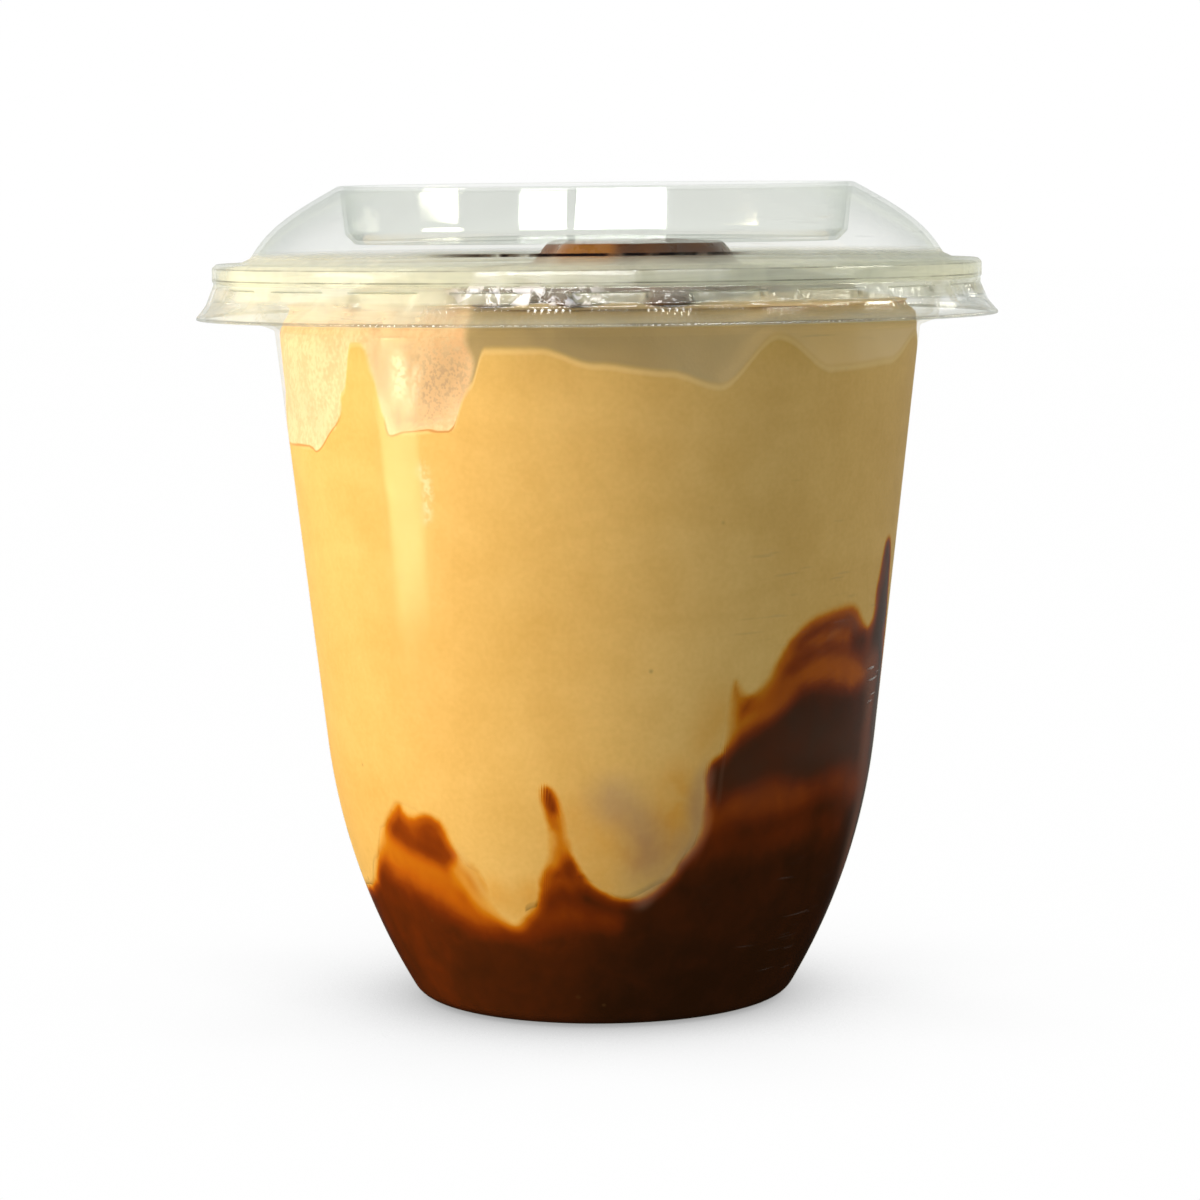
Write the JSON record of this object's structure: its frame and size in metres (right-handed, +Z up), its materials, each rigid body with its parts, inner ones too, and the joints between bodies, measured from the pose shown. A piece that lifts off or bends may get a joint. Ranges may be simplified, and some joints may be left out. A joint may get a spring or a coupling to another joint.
{
  "type": "ice cream tub",
  "caption": "Clear tapered dessert cup with a clip-on domed lid, filled with custard ice cream and caramel sauce at the bottom and on top.",
  "frame": {"origin": "middle of the foot ring, on the surface that the cup stands on", "axes": "+Z up the cup's axis to the lid; -Y is the side that the picture shows; +X to that side's right"},
  "size_m": [0.1032, 0.1032, 0.1053],
  "materials": {
    "clear_cup": "clear thermoformed sheet, faintly scuffed",
    "clear_lid": "clear thermoformed sheet with a faint grey-green edge tint",
    "custard_ice_cream": "soft frozen custard, smooth against the wall, with a few specks and frosted patches",
    "caramel_sauce": "glossy dark caramel, orange where it is thin",
    "poured_sauce": "glossy caramel poured over the top"
  },
  "bodies": {
    "root": {"cup": "clear_cup", "lid": "clear_lid", "ice_cream": "custard_ice_cream", "caramel_sauce": "caramel_sauce", "top_sauce": "poured_sauce"}
  },
  "joints": []
}
